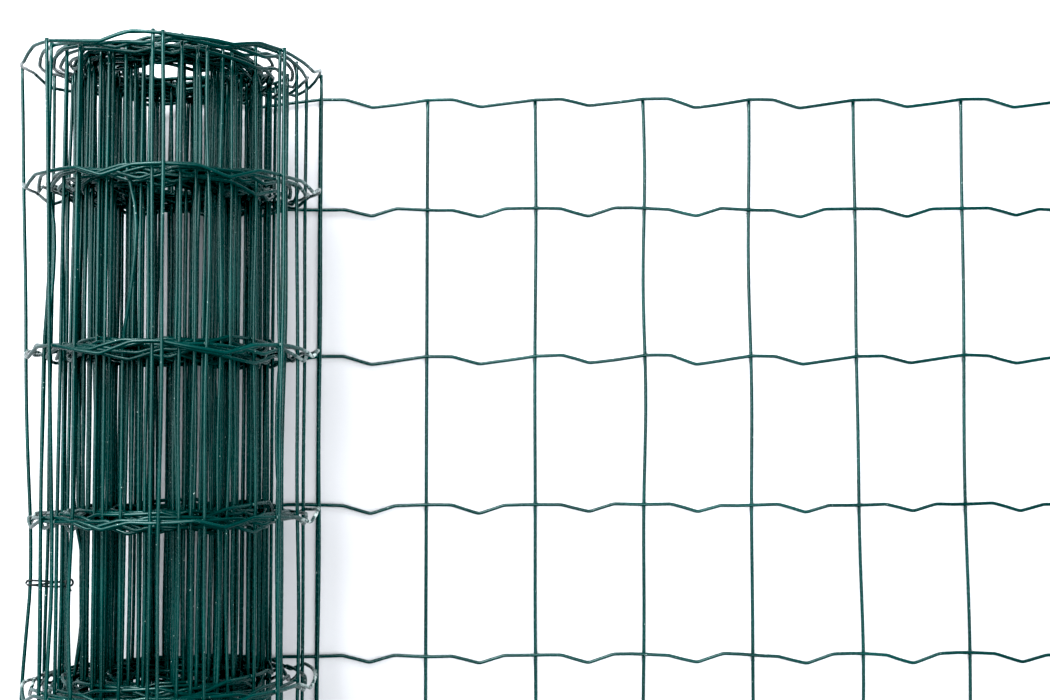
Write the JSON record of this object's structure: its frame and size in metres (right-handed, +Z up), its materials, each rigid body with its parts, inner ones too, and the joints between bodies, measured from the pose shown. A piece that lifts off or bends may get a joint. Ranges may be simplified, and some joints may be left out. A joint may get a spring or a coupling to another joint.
{
  "type": "roll of wire fencing",
  "caption": "Part-unrolled roll of green coated welded wire fencing lying on its side, with an open core, crimped line wires, a flat loose end and a tie wire round its outer turns.",
  "frame": {"origin": "on the floor, under the middle of the first cross wire that lies flat in front of the roll", "axes": "+X along the flat loose end away from the roll, +Y along the roll's axis towards its narrow row of mesh, +Z up from the floor"},
  "size_m": [0.7791, 0.7949, 0.186],
  "materials": {
    "coated_wire": "dark green plastic coating on steel wire, glossy",
    "tie_wire": "thin dark annealed steel wire"
  },
  "bodies": {
    "root": {"wound_roll": "coated_wire", "loose_end": "coated_wire", "tie_wire": "tie_wire"}
  },
  "joints": []
}
